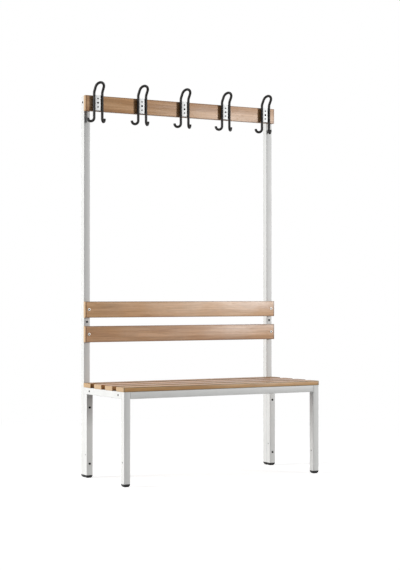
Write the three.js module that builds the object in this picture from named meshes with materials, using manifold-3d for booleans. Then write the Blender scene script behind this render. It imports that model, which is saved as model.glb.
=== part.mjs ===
// Single-sided cloakroom bench: a square-tube steel frame with a slatted timber seat,
// a two-slat timber backrest and a timber hook board that carries five double wire hooks.
// Millimetres, +Z up. The origin is on the floor, under the middle of the bench's plan.
// -Y is the front, where a person sits; +X is the sitter's left.

import * as THREE from "three";
import { mergeVertices } from "three/addons/utils/BufferGeometryUtils.js";
import Module from "manifold-3d";

const wasm = await Module();
wasm.setup();

// Driving sizes
const BENCH_LENGTH = 1000;
const SEAT_DEPTH = 396;
const SEAT_FRAME_TOP = 402.5;
const BOARD_TOP = 1706.5;
const FRAME_INSET = 2;

// Square steel tube
const TUBE = 30;
const TUBE_WALL = 1.5;
const TUBE_CORNER = 2;
const CORNER_STEPS = 1;

// Feet and caps pushed into the tube ends
const FOOT_HEIGHT = 12.5;
const FOOT_FLANGE_HEIGHT = 3.5;
const SOLE_CORNER = 3;
const SOLE_SECTIONS = [
  { height: 0, width: 19 },
  { height: 2.2, width: 24.4 },
  { height: 6, width: 28.8 },
  { height: FOOT_HEIGHT - FOOT_FLANGE_HEIGHT, width: TUBE },
];
const INSERT_CLEARANCE = 0.3;
const FOOT_INSERT_LENGTH = 14;
const CAP_FLANGE_HEIGHT = 2;
const CAP_INSERT_LENGTH = 9;

// Timber
const TIMBER_THICKNESS = 20;
const TIMBER_EDGE_RADIUS = 1.5;
const EDGE_STEPS = 2;
const SLAT_WIDTH = 72;
const SEAT_SLATS = 4;
const BACK_SLAT_RISE = 216.5;
const BACK_SLAT_PITCH = 110;
const BOARD_HEIGHT = 70;

// Wire hooks
const HOOKS = 5;
const HOOK_PITCH = 221.5;
const ROD_DIAMETER = 12;
const ROD_STEPS = 6;
const ROD_SPACING = 40;
const ROD_STANDOFF = 11.7;
const ARC_STEP = Math.PI / 9;
const PRONG_RADIUS = 15;
const PRONG_SWEEP = THREE.MathUtils.degToRad(174);
const PRONG_TURN = THREE.MathUtils.degToRad(44);
const PRONG_DROP = 51.8;
const PRONG_TIP = 3;
const LOOP_BEND_RISE = 9;
const LOOP_BEND_RADIUS = 16;
const LOOP_TILT = THREE.MathUtils.degToRad(35);
const LOOP_REACH = 44.5;
const LOOP_ARCH_HEIGHT = 24;
const LOOP_ARCH_STEPS = 6;

// Hook plates: a pressed channel between the two rods of a hook
const PLATE_DEPTH = 11;
const PLATE_WALL = 2.5;
const PLATE_HEIGHT = 68;
const PLATE_CORNER = 0.8;
const PLATE_RISE = 2;
const PLATE_WELD_GAP = 0.2;
const RIVET_PITCH = 18.5;

// Holes and fasteners
const HOLE_CLEARANCE = 0.3;
const HOLE_SIDES = 12;
const SCREW_SIDES = 12;
const LEG_HOLE_RISE = 91;
const LEG_HOLE_RADIUS = 3;
const LEG_BOLT_RISE = 51;
const LEG_BOLT_DROP = 89;
const POST_BOSS_RADIUS = 8.5;
const POST_BOSS_HEIGHT = 0.8;
const SIDE_PLUG_RISE = 5.5;
const SLAT_SCREW_INSET = 18;
const RAIL_BOLT_INSET = 26;
const BOARD_SCREW_SPREAD = 16;
const DRIVER_HOLE_RADIUS = 6;
const END_CLEARANCE = 0.5;
const DOME_SHARE = 0.45;
const DOME_RADIUS_SHARE = 0.8;
const SLEEVE = 2 * TUBE;
const WELD_TOLERANCE = 1e-4;

// Each fastener: radius of the head, its height, the shank's radius and length, and the driver recess
const SLAT_SCREW = { head: 6.5, rise: 2.2, shank: 2.5, length: 27, recess: 2.6, sink: 1.5 };
const LEG_BOLT = { head: 5, rise: 2.8, shank: 3, length: 42, recess: 2.2, sink: 1.6 };
const POST_BOLT = { head: 4.8, rise: 2.4, shank: 3, length: 30, recess: 2.1, sink: 1.5 };
const RAIL_BOLT = { head: 4.7, rise: 1.6, shank: 2.3, length: 9, recess: 2, sink: 0.9 };
const HOOK_SCREW = { head: 4.5, rise: 2.2, shank: 2.1, length: 26, recess: 1.9, sink: 1.3 };
const BOARD_SCREW = { head: 4.2, rise: 2.6, shank: 2.2, length: 15, recess: 1.8, sink: 1.4 };
const SIDE_PLUG = { head: 5, rise: 0.9, shank: 3.4, length: 7, recess: 2.5, sink: 0.5 };
const RIVET = { head: 3.8, rise: 1.6, shank: 1.2, length: 1.5, recess: 1.8, sink: 0.8 };

// Derived sizes
const DEPTH = SEAT_DEPTH + TUBE;
const FRONT = -DEPTH / 2;
const FRAME_X = BENCH_LENGTH / 2 - FRAME_INSET;
const LEG_X = FRAME_X - TUBE / 2;
const FRONT_LEG_Y = FRONT + TUBE / 2;
const REAR_LEG_Y = FRONT + SEAT_DEPTH - TUBE / 2;
const POST_Y = REAR_LEG_Y + TUBE;
const POST_FACE = POST_Y - TUBE / 2;
const REAR_LEG_FACE = REAR_LEG_Y - TUBE / 2;
const RAIL_Z = SEAT_FRAME_TOP - TUBE / 2;
const BACK_FACE = POST_FACE - TIMBER_THICKNESS;
const SEAT_TOP = SEAT_FRAME_TOP + TIMBER_THICKNESS;
const BACK_SLAT_LOW = SEAT_TOP + BACK_SLAT_RISE;
const BACK_SLAT_CENTRES = { lower: BACK_SLAT_LOW, upper: BACK_SLAT_LOW + BACK_SLAT_PITCH };
const BOARD_BOTTOM = BOARD_TOP - BOARD_HEIGHT;
const BOARD_CENTRE = BOARD_TOP - BOARD_HEIGHT / 2;
const LEG_HOLE_HEIGHT = FOOT_HEIGHT + LEG_HOLE_RISE;
const LEG_BOLT_HEIGHTS = {
  lower: FOOT_HEIGHT + LEG_BOLT_RISE,
  upper: SEAT_FRAME_TOP - LEG_BOLT_DROP,
};
const POST_BOLT_HEIGHT = BACK_SLAT_LOW + BACK_SLAT_PITCH / 2;
const SIDE_PLUG_HEIGHT = BOARD_CENTRE + SIDE_PLUG_RISE;
const POST_TOP = BOARD_TOP - CAP_FLANGE_HEIGHT;
const PLATE_CENTRE = BOARD_CENTRE + PLATE_RISE;
const PLATE_FACE = BACK_FACE - PLATE_DEPTH;
const PLATE_WIDTH = ROD_SPACING - ROD_DIAMETER - 2 * PLATE_WELD_GAP;
const ROD_RADIUS = ROD_DIAMETER / 2;
const ROD_Y = BACK_FACE - ROD_STANDOFF;
const SLAT_SCREW_X = BENCH_LENGTH / 2 - SLAT_SCREW_INSET;

// Finishes
const finish = (name, color, roughness, metalness) =>
  new THREE.MeshStandardMaterial({ name, color, roughness, metalness });
const FRAME_PAINT = finish("frame_paint", 0xd8d8d4, 0.45, 0.0);
const TIMBER = finish("timber", 0xb98a5e, 0.5, 0.0);
const HOOK_BLACK = finish("hook_black", 0x1e1c1b, 0.45, 0.0);
const PLATE_STEEL = finish("plate_steel", 0xcfd0d0, 0.35, 0.9);
const FOOT_PLASTIC = finish("foot_plastic", 0x151515, 0.6, 0.0);
const CAP_PLASTIC = finish("cap_plastic", 0xc9c9c5, 0.55, 0.0);
const BOLT_BLACK = finish("bolt_black", 0x1a1a1a, 0.4, 0.6);
const SCREW_STEEL = finish("screw_steel", 0xd6d6d2, 0.3, 0.95);

const bench = new THREE.Group();
bench.name = "cloakroom_bench";

function addPiece(name, geometry, material, x = 0, y = 0, z = 0) {
  const mesh = new THREE.Mesh(geometry, material);
  mesh.name = name;
  mesh.position.set(x, y, z);
  bench.add(mesh);
  return mesh;
}

// Solids for cutting and joining

function toSolid(geometry) {
  const bare = new THREE.BufferGeometry();
  bare.setAttribute("position", geometry.getAttribute("position"));
  bare.setIndex(geometry.getIndex());
  const merged = mergeVertices(bare, WELD_TOLERANCE);
  const index = merged.getIndex().array;
  const triangles = [];
  for (let i = 0; i < index.length; i += 3) {
    const [a, b, c] = index.slice(i, i + 3);
    if (a !== b && b !== c && c !== a) {
      triangles.push(a, b, c);
    }
  }
  return new wasm.Manifold(
    new wasm.Mesh({
      numProp: 3,
      vertProperties: new Float32Array(merged.getAttribute("position").array),
      triVerts: new Uint32Array(triangles),
    }),
  );
}

function toGeometry(solid) {
  const mesh = solid.getMesh();
  const geometry = new THREE.BufferGeometry();
  geometry.setAttribute("position", new THREE.Float32BufferAttribute(mesh.vertProperties, 3));
  geometry.setIndex([...mesh.triVerts]);
  geometry.computeVertexNormals();
  return geometry;
}

function cut(geometry, cutters) {
  let solid = toSolid(geometry);
  for (const cutter of cutters) {
    solid = solid.subtract(toSolid(cutter));
  }
  return toGeometry(solid);
}

function join(geometries) {
  let solid = toSolid(geometries[0]);
  for (const other of geometries.slice(1)) {
    solid = solid.add(toSolid(other));
  }
  return toGeometry(solid);
}

function roundedRectangle(width, height, radius, Outline = THREE.Shape) {
  const x = width / 2 - radius;
  const y = height / 2 - radius;
  const outline = new Outline();
  const quarter = Math.PI / 2;
  outline.absarc(x, y, radius, 0, quarter);
  outline.absarc(-x, y, radius, quarter, 2 * quarter);
  outline.absarc(-x, -y, radius, 2 * quarter, 3 * quarter);
  outline.absarc(x, -y, radius, 3 * quarter, 4 * quarter);
  outline.closePath();
  return outline;
}

function bar(width, height, radius, length, steps) {
  const section = roundedRectangle(width, height, radius);
  return new THREE.ExtrudeGeometry(section, {
    depth: length,
    bevelEnabled: false,
    curveSegments: steps,
  });
}

function squareTube(length) {
  const section = roundedRectangle(TUBE, TUBE, TUBE_CORNER);
  const bore = TUBE - 2 * TUBE_WALL;
  section.holes.push(roundedRectangle(bore, bore, TUBE_CORNER - TUBE_WALL, THREE.Path));
  return new THREE.ExtrudeGeometry(section, {
    depth: length,
    bevelEnabled: false,
    curveSegments: CORNER_STEPS,
  });
}

// A drill of the given length, centred on the point, along the named axis
function drill(axis, radius, length, x, y, z) {
  const tool = new THREE.CylinderGeometry(radius, radius, length, HOLE_SIDES);
  if (axis === "x") {
    tool.rotateZ(Math.PI / 2);
  }
  if (axis === "z") {
    tool.rotateX(Math.PI / 2);
  }
  return tool.translate(x, y, z);
}

// A fastener on the Y axis: its head rises from y = 0 towards +Y, its shank runs towards -Y
function fastener({ head, rise, shank, length, recess, sink }) {
  const profile = [
    [0, -length],
    [shank, -length],
    [shank, 0],
    [head, 0],
    [head, rise * DOME_SHARE],
    [head * DOME_RADIUS_SHARE, rise],
    [recess, rise],
    [recess, rise - sink],
    [0, rise - sink],
  ];
  const points = profile.map(([radius, height]) => new THREE.Vector2(radius, height));
  return new THREE.LatheGeometry(points, SCREW_SIDES);
}

function facingFront(geometry) {
  return geometry.rotateZ(Math.PI);
}

function facingSide(geometry, side) {
  return geometry.rotateZ((-side * Math.PI) / 2);
}

const ends = [
  { side: -1, word: "left" },
  { side: 1, word: "right" },
];

// Frame

function legHole(bottom) {
  return drill("x", LEG_HOLE_RADIUS, SLEEVE, 0, 0, LEG_HOLE_HEIGHT - bottom);
}

function addFrontLeg({ side, word }) {
  const length = SEAT_FRAME_TOP - FOOT_HEIGHT;
  const tube = cut(squareTube(length), [legHole(FOOT_HEIGHT)]);
  addPiece(`front_leg_${word}`, tube, FRAME_PAINT, side * LEG_X, FRONT_LEG_Y, FOOT_HEIGHT);
}

function addRearLeg({ side, word }) {
  const length = SEAT_FRAME_TOP - FOOT_HEIGHT;
  const radius = LEG_BOLT.shank + HOLE_CLEARANCE;
  const drills = [legHole(FOOT_HEIGHT)];
  for (const height of Object.values(LEG_BOLT_HEIGHTS)) {
    drills.push(drill("y", radius, SLEEVE, 0, 0, height - FOOT_HEIGHT));
  }
  const tube = cut(squareTube(length), drills);
  addPiece(`rear_leg_${word}`, tube, FRAME_PAINT, side * LEG_X, REAR_LEG_Y, FOOT_HEIGHT);
}

// The ring of slightly raised metal around the bolt hole between the back slats
function postBoss(height) {
  const boss = drill("y", POST_BOSS_RADIUS, POST_BOSS_HEIGHT + TUBE_WALL, 0, 0, height);
  const middle = -TUBE / 2 + (TUBE_WALL - POST_BOSS_HEIGHT) / 2;
  return boss.translate(0, middle, 0);
}

function addPost({ side, word }) {
  const length = POST_TOP - FOOT_HEIGHT;
  const frontWall = -TUBE / 2;
  const rearWall = TUBE / 2;
  const at = (height) => height - FOOT_HEIGHT;
  const frontHole = (radius, x, height) => {
    return drill("y", radius + HOLE_CLEARANCE, TUBE, x, frontWall, at(height));
  };
  const drills = [];
  for (const height of Object.values(LEG_BOLT_HEIGHTS)) {
    drills.push(frontHole(LEG_BOLT.shank, 0, height));
  }
  for (const height of Object.values(BACK_SLAT_CENTRES)) {
    drills.push(frontHole(SLAT_SCREW.shank, side * (SLAT_SCREW_X - LEG_X), height));
  }
  const throughRadius = POST_BOLT.shank + HOLE_CLEARANCE;
  drills.push(drill("y", throughRadius, SLEEVE, 0, 0, at(POST_BOLT_HEIGHT)));
  for (const step of [-1, 1]) {
    const height = BOARD_CENTRE + step * BOARD_SCREW_SPREAD;
    drills.push(frontHole(BOARD_SCREW.shank, 0, height));
    drills.push(drill("y", DRIVER_HOLE_RADIUS, TUBE, 0, rearWall, at(height)));
  }
  const plugRadius = SIDE_PLUG.shank + HOLE_CLEARANCE;
  const outerWall = (side * TUBE) / 2;
  drills.push(drill("x", plugRadius, TUBE, outerWall, 0, at(SIDE_PLUG_HEIGHT)));
  const ringed = join([squareTube(length), postBoss(at(POST_BOLT_HEIGHT))]);
  addPiece(`post_${word}`, cut(ringed, drills), FRAME_PAINT, side * LEG_X, POST_Y, FOOT_HEIGHT);
}

function railBoltPositions() {
  const frontEnd = FRONT_LEG_Y + TUBE / 2;
  return { front: frontEnd + RAIL_BOLT_INSET, rear: REAR_LEG_FACE - RAIL_BOLT_INSET };
}

function addEndRail({ side, word }) {
  const start = FRONT_LEG_Y + TUBE / 2;
  const tube = squareTube(REAR_LEG_FACE - start).rotateX(-Math.PI / 2);
  const radius = RAIL_BOLT.shank + HOLE_CLEARANCE;
  const outerWall = (side * TUBE) / 2;
  const drills = Object.values(railBoltPositions()).map((y) => {
    return drill("x", radius, TUBE, outerWall, y - start, 0);
  });
  addPiece(`end_rail_${word}`, cut(tube, drills), FRAME_PAINT, side * LEG_X, start, RAIL_Z);
}

function addLongRail(name, y) {
  const length = 2 * (FRAME_X - TUBE);
  const tube = squareTube(length).rotateY(Math.PI / 2);
  addPiece(name, tube, FRAME_PAINT, -length / 2, y, RAIL_Z);
}

// Plastic feet and caps

function tubeInsert(length) {
  const width = TUBE - 2 * (TUBE_WALL + INSERT_CLEARANCE);
  return bar(width, width, TUBE_CORNER - TUBE_WALL, length, CORNER_STEPS);
}

// The sole is a square pad that curves in from the flange to the floor
function footSole() {
  const points = SOLE_SECTIONS.flatMap(({ height, width }) => {
    const section = roundedRectangle(width, width, SOLE_CORNER);
    return section.getPoints(CORNER_STEPS).map(({ x, y }) => [x, y, height]);
  });
  return toGeometry(wasm.Manifold.hull(points));
}

function addFoot(name, x, y) {
  const flangeBottom = FOOT_HEIGHT - FOOT_FLANGE_HEIGHT;
  const flange = bar(TUBE, TUBE, TUBE_CORNER, FOOT_FLANGE_HEIGHT, CORNER_STEPS);
  flange.translate(0, 0, flangeBottom);
  const insert = tubeInsert(FOOT_FLANGE_HEIGHT + FOOT_INSERT_LENGTH);
  insert.translate(0, 0, flangeBottom);
  addPiece(name, join([flange, insert, footSole()]), FOOT_PLASTIC, x, y, 0);
}

function addPostCap({ side, word }) {
  const flange = bar(TUBE, TUBE, TUBE_CORNER, CAP_FLANGE_HEIGHT, CORNER_STEPS);
  const insert = tubeInsert(CAP_INSERT_LENGTH + CAP_FLANGE_HEIGHT);
  insert.translate(0, 0, -CAP_INSERT_LENGTH);
  addPiece(`post_cap_${word}`, join([flange, insert]), CAP_PLASTIC, side * LEG_X, POST_Y, POST_TOP);
}

// Timber

function timberBar(depth, height) {
  const geometry = bar(height, depth, TIMBER_EDGE_RADIUS, BENCH_LENGTH, EDGE_STEPS);
  return geometry.rotateY(Math.PI / 2).translate(-BENCH_LENGTH / 2, 0, 0);
}

function addSeatSlats() {
  const gap = (SEAT_DEPTH - SEAT_SLATS * SLAT_WIDTH) / (SEAT_SLATS - 1);
  const z = SEAT_FRAME_TOP + TIMBER_THICKNESS / 2;
  for (let slat = 0; slat < SEAT_SLATS; slat += 1) {
    const y = FRONT + SLAT_WIDTH / 2 + slat * (SLAT_WIDTH + gap);
    addPiece(`seat_slat_${slat + 1}`, timberBar(SLAT_WIDTH, TIMBER_THICKNESS), TIMBER, 0, y, z);
  }
}

function addBackSlat(name, z) {
  const drills = ends.map(({ side }) => {
    const radius = SLAT_SCREW.shank + HOLE_CLEARANCE;
    return drill("y", radius, SLEEVE, side * SLAT_SCREW_X, 0, 0);
  });
  const y = POST_FACE - TIMBER_THICKNESS / 2;
  const slat = cut(timberBar(TIMBER_THICKNESS, SLAT_WIDTH), drills);
  addPiece(name, slat, TIMBER, 0, y, z);
}

function hookPositions() {
  const first = (-HOOK_PITCH * (HOOKS - 1)) / 2;
  return Array.from({ length: HOOKS }, (_, index) => first + index * HOOK_PITCH);
}

// A blind hole for a screw that enters the board from one face
function boardHole(screw, sunk, face, x, z) {
  const depth = screw.length - sunk + END_CLEARANCE;
  const middle = face * (TIMBER_THICKNESS / 2 - depth / 2 + END_CLEARANCE);
  return drill("y", screw.shank + HOLE_CLEARANCE, depth + 2 * END_CLEARANCE, x, middle, z);
}

function addHookBoard() {
  const plateCentre = PLATE_CENTRE - BOARD_CENTRE;
  const drills = hookPositions().map((x) => {
    return boardHole(HOOK_SCREW, PLATE_DEPTH, -1, x, plateCentre);
  });
  for (const { side } of ends) {
    for (const step of [-1, 1]) {
      const z = step * BOARD_SCREW_SPREAD;
      drills.push(boardHole(BOARD_SCREW, TUBE_WALL, 1, side * LEG_X, z));
    }
  }
  const y = POST_FACE - TIMBER_THICKNESS / 2;
  const board = cut(timberBar(TIMBER_THICKNESS, BOARD_HEIGHT), drills);
  addPiece("hook_board", board, TIMBER, 0, y, BOARD_CENTRE);
}

// Wire hooks

// A path whose stations are given one by one, each with its own direction
class RodPath extends THREE.Curve {
  constructor(stations) {
    super();
    this.stations = stations;
  }

  station(u) {
    return this.stations[Math.round(u * (this.stations.length - 1))];
  }

  getPoint(u, target = new THREE.Vector3()) {
    return target.copy(this.station(u).point);
  }

  getPointAt(u, target) {
    return this.getPoint(u, target);
  }

  getTangentAt(u, target = new THREE.Vector3()) {
    return target.copy(this.station(u).direction);
  }
}

// Stations of an arc that leaves from in the direction along and bends towards aside
function arcStations(from, along, aside, radius, sweep) {
  const steps = Math.ceil(sweep / ARC_STEP);
  const centre = from.clone().addScaledVector(aside, radius);
  return Array.from({ length: steps }, (_, index) => {
    const angle = (sweep * (index + 1)) / steps;
    const point = centre
      .clone()
      .addScaledVector(aside, -radius * Math.cos(angle))
      .addScaledVector(along, radius * Math.sin(angle));
    const direction = along
      .clone()
      .multiplyScalar(Math.cos(angle))
      .addScaledVector(aside, Math.sin(angle));
    return { point, direction };
  });
}

// Stations of a quarter ellipse, from its crown down to the shoulder where the rod runs along slope
function archStations(centre, outward, slope, halfWidth, height) {
  return Array.from({ length: LOOP_ARCH_STEPS }, (_, index) => {
    const angle = ((index + 1) / LOOP_ARCH_STEPS) * (Math.PI / 2);
    const point = centre
      .clone()
      .addScaledVector(outward, halfWidth * Math.sin(angle))
      .addScaledVector(slope, -height * Math.cos(angle));
    const direction = outward
      .clone()
      .multiplyScalar(halfWidth * Math.cos(angle))
      .addScaledVector(slope, height * Math.sin(angle))
      .normalize();
    return { point, direction };
  });
}

// Half of the rod, from the crown of the loop down to the tip of the prong on one side
function halfRod(side) {
  const halfSpacing = ROD_SPACING / 2;
  const outward = new THREE.Vector3(side, 0, 0);
  const down = new THREE.Vector3(0, 0, -1);
  const back = new THREE.Vector3(0, 1, 0);
  const slope = new THREE.Vector3(0, Math.sin(LOOP_TILT), -Math.cos(LOOP_TILT));
  const square = new THREE.Vector3(0, -Math.cos(LOOP_TILT), -Math.sin(LOOP_TILT));
  const bendTop = new THREE.Vector3(side * halfSpacing, 0, BOARD_TOP + LOOP_BEND_RISE)
    .addScaledVector(back, -LOOP_BEND_RADIUS * (1 - Math.cos(LOOP_TILT)))
    .addScaledVector(down, -LOOP_BEND_RADIUS * Math.sin(LOOP_TILT));
  const middle = bendTop
    .clone()
    .addScaledVector(slope, LOOP_ARCH_HEIGHT - LOOP_REACH)
    .addScaledVector(outward, -halfSpacing);
  const crown = middle.clone().addScaledVector(slope, -LOOP_ARCH_HEIGHT);
  const stations = [{ point: crown, direction: outward }];
  stations.push(...archStations(middle, outward, slope, halfSpacing, LOOP_ARCH_HEIGHT));
  stations.push({ point: bendTop, direction: slope });
  stations.push(...arcStations(bendTop, slope, square, LOOP_BEND_RADIUS, LOOP_TILT));
  const foot = stations[stations.length - 1].point.clone();
  foot.z = BOARD_BOTTOM - PRONG_DROP + PRONG_RADIUS + ROD_RADIUS;
  stations.push({ point: foot, direction: down });
  const aside = new THREE.Vector3(side * Math.cos(PRONG_TURN), Math.sin(PRONG_TURN), 0);
  stations.push(...arcStations(foot, down, aside, PRONG_RADIUS, PRONG_SWEEP));
  const { point, direction } = stations[stations.length - 1];
  stations.push({ point: point.clone().addScaledVector(direction, PRONG_TIP), direction });
  return stations;
}

function hookRod() {
  const right = halfRod(1);
  const left = halfRod(-1)
    .slice(1)
    .reverse()
    .map(({ point, direction }) => ({ point, direction: direction.negate() }));
  const stations = [...left, ...right];
  const section = new THREE.Shape();
  section.absarc(0, 0, ROD_RADIUS, 0, 2 * Math.PI);
  return new THREE.ExtrudeGeometry(section, {
    steps: stations.length - 1,
    extrudePath: new RodPath(stations),
    curveSegments: ROD_STEPS,
  });
}

// A channel with its open side on the board, made from a bar that is hollowed and trimmed at y = 0
function hookPlate() {
  const block = bar(
    PLATE_WIDTH, PLATE_DEPTH + PLATE_CORNER, PLATE_CORNER, PLATE_HEIGHT, CORNER_STEPS,
  );
  block.translate(0, (PLATE_CORNER - PLATE_DEPTH) / 2, -PLATE_HEIGHT / 2);
  const hollowWidth = PLATE_WIDTH - 2 * PLATE_WALL;
  const hollowDepth = PLATE_DEPTH - PLATE_WALL;
  const hollow = new THREE.BoxGeometry(hollowWidth, 2 * hollowDepth, 2 * PLATE_HEIGHT);
  const trim = new THREE.BoxGeometry(TUBE, 2 * PLATE_CORNER, 2 * PLATE_HEIGHT);
  trim.translate(0, PLATE_CORNER, 0);
  const channel = cut(block, [hollow, trim]);
  const rivets = [-1, 1].map((step) => {
    const rivet = facingFront(fastener(RIVET));
    return rivet.translate(0, -PLATE_DEPTH, step * RIVET_PITCH);
  });
  const radius = HOOK_SCREW.shank + HOLE_CLEARANCE;
  return cut(join([channel, ...rivets]), [drill("y", radius, TUBE, 0, 0, 0)]);
}

function addHooks() {
  hookPositions().forEach((x, index) => {
    const number = index + 1;
    addPiece(`hook_rod_${number}`, hookRod(), HOOK_BLACK, x, ROD_Y, 0);
    addPiece(`hook_plate_${number}`, hookPlate(), PLATE_STEEL, x, BACK_FACE, PLATE_CENTRE);
    const screw = facingFront(fastener(HOOK_SCREW));
    addPiece(`hook_screw_${number}`, screw, BOLT_BLACK, x, PLATE_FACE, PLATE_CENTRE);
  });
}

// Screws and bolts

function addBackSlatScrews({ side, word }) {
  for (const [row, height] of Object.entries(BACK_SLAT_CENTRES)) {
    const screw = facingFront(fastener(SLAT_SCREW));
    addPiece(
      `back_screw_${row}_${word}`, screw, SCREW_STEEL, side * SLAT_SCREW_X, BACK_FACE, height,
    );
  }
}

function addLegBolts({ side, word }) {
  for (const [row, height] of Object.entries(LEG_BOLT_HEIGHTS)) {
    const bolt = facingFront(fastener(LEG_BOLT));
    addPiece(`leg_bolt_${row}_${word}`, bolt, BOLT_BLACK, side * LEG_X, REAR_LEG_FACE, height);
  }
}

function addPostBolt({ side, word }) {
  const bolt = facingFront(fastener(POST_BOLT));
  const face = POST_FACE - POST_BOSS_HEIGHT;
  addPiece(`post_bolt_${word}`, bolt, BOLT_BLACK, side * LEG_X, face, POST_BOLT_HEIGHT);
}

function addRailBolts({ side, word }) {
  for (const [place, y] of Object.entries(railBoltPositions())) {
    const bolt = facingSide(fastener(RAIL_BOLT), side);
    addPiece(`rail_bolt_${place}_${word}`, bolt, BOLT_BLACK, side * FRAME_X, y, RAIL_Z);
  }
}

function addBoardScrews({ side, word }) {
  const rows = { lower: -BOARD_SCREW_SPREAD, upper: BOARD_SCREW_SPREAD };
  for (const [row, offset] of Object.entries(rows)) {
    const z = BOARD_CENTRE + offset;
    const y = POST_FACE + TUBE_WALL;
    addPiece(`board_screw_${row}_${word}`, fastener(BOARD_SCREW), SCREW_STEEL, side * LEG_X, y, z);
  }
}

function addSidePlug({ side, word }) {
  const plug = facingSide(fastener(SIDE_PLUG), side);
  addPiece(`side_plug_${word}`, plug, FOOT_PLASTIC, side * FRAME_X, POST_Y, SIDE_PLUG_HEIGHT);
}

for (const end of ends) {
  const x = end.side * LEG_X;
  addFrontLeg(end);
  addRearLeg(end);
  addPost(end);
  addEndRail(end);
  addFoot(`foot_front_${end.word}`, x, FRONT_LEG_Y);
  addFoot(`foot_rear_${end.word}`, x, REAR_LEG_Y);
  addFoot(`foot_post_${end.word}`, x, POST_Y);
  addPostCap(end);
  addBackSlatScrews(end);
  addLegBolts(end);
  addPostBolt(end);
  addRailBolts(end);
  addBoardScrews(end);
  addSidePlug(end);
}
addLongRail("front_rail", FRONT_LEG_Y);
addLongRail("rear_rail", REAR_LEG_Y);
addSeatSlats();
addBackSlat("back_slat_lower", BACK_SLAT_CENTRES.lower);
addBackSlat("back_slat_upper", BACK_SLAT_CENTRES.upper);
addHookBoard();
addHooks();

export default bench;
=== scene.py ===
"""Dresses the single-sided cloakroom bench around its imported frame.

Each sub-assembly is a class that reads its place from the frame, builds its meshes in metres
and gives them their finish. The studio (floor, lamps and camera) comes last.
"""

import logging
import math
from dataclasses import dataclass, field
from enum import Enum

import bmesh
import bpy
from mathutils import Matrix, Vector


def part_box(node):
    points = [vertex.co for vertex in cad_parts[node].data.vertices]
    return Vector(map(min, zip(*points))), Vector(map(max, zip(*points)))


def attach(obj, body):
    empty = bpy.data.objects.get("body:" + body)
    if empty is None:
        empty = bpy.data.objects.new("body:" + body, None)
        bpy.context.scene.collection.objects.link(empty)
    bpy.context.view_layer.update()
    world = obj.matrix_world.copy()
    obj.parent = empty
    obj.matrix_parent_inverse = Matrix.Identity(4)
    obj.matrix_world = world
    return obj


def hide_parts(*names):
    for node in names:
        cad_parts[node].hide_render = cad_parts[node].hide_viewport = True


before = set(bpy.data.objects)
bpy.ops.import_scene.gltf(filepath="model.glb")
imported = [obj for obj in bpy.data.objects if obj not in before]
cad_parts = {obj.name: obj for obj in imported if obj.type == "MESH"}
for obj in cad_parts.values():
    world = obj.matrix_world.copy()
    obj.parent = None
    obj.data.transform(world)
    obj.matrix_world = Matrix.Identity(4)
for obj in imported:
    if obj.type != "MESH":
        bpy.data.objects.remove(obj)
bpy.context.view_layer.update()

logging.basicConfig(level=logging.INFO, format="%(name)s: %(message)s")
LOG = logging.getLogger("bench")

MM = 0.001
SMOOTH_ANGLE = math.radians(38)
FLAT_WIDTH = 5.0 * MM
QUARTER = math.pi / 2
WELD_DISTANCE = 0.001 * MM
DRILL_SIDES = 24
RING_SIDES = 40
BORE_SHARE = 0.8
CORNER_STEPS = 5
DOME_SHARES = ((0.35, 1.0), (0.7, 0.78), (0.92, 0.42))
EASE_SHARES = ((0.0, 1.0), (0.3, 0.3), (1.0, 0.0))

Point = tuple[float, float, float]
Colour = tuple[float, float, float]
Stops = list[tuple[float, Colour]]
Band = tuple[float, float, float, float]
Outline = list[tuple[float, float]]
Ring = list[bmesh.types.BMVert]
Material = bpy.types.Material
Object = bpy.types.Object
Socket = bpy.types.NodeSocket
Shape = bmesh.types.BMesh


class Axis(Enum):
    """An axis of the row frame, as the index of its coordinate."""

    X = 0
    Y = 1
    Z = 2


class Facing(Enum):
    """Where a fastener's head looks."""

    FRONT = (0.0, -1.0, 0.0)
    BACK = (0.0, 1.0, 0.0)
    LEFT = (-1.0, 0.0, 0.0)
    RIGHT = (1.0, 0.0, 0.0)
    DOWN = (0.0, 0.0, -1.0)


class Drive(Enum):
    """The recess in a fastener's head."""

    CROSS = "cross"
    HEXAGON = "hexagon"
    ROUND = "round"


class Side(Enum):
    """An end of the bench: the word in its pieces' names and its sign along X."""

    LEFT = ("left", -1)
    RIGHT = ("right", 1)

    @property
    def word(self) -> str:
        """The word used in names."""
        return self.value[0]

    @property
    def sign(self) -> int:
        """The sign of X at this end."""
        return self.value[1]


# ---- Shader helpers


@dataclass(frozen=True)
class Grain:
    """A noise over a piece's own coordinates.

    Attributes:
        scale: its scale.
        detail: its octaves.
        roughness: the weight of its octaves.
        distortion: how much it is bent.
        axes: what its scale is multiplied by along each axis.
    """

    scale: float
    detail: float = 3.0
    roughness: float = 0.5
    distortion: float = 0.0
    axes: Point = (1.0, 1.0, 1.0)


class Nodes:
    """A node tree under construction."""

    def __init__(self, tree: bpy.types.NodeTree) -> None:
        """Takes up the tree."""
        self.tree = tree

    def new(self, kind: str) -> bpy.types.Node:
        """Adds a node of that kind."""
        return self.tree.nodes.new(kind)

    def wire(self, node: bpy.types.Node, inputs: dict[int | str, object]) -> bpy.types.Node:
        """Feeds a node's sockets.

        Args:
            node: the node.
            inputs: its sockets, by name or number, and the source or value that each takes.

        Returns:
            The node.
        """
        for name, source in inputs.items():
            socket = node.inputs[name]
            if isinstance(source, Socket):
                self.tree.links.new(source, socket)
            elif socket.type == "RGBA":
                socket.default_value = (*source, 1.0)
            else:
                socket.default_value = source
        return node

    def maths(self, operation: str, first: Socket, second: Socket | float) -> Socket:
        """A sum on two values.

        Args:
            operation: the operation's name.
            first: the first value.
            second: the second value, or a number.

        Returns:
            The result.
        """
        node = self.new("ShaderNodeMath")
        node.operation = operation
        return self.wire(node, {0: first, 1: second}).outputs["Value"]


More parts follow.
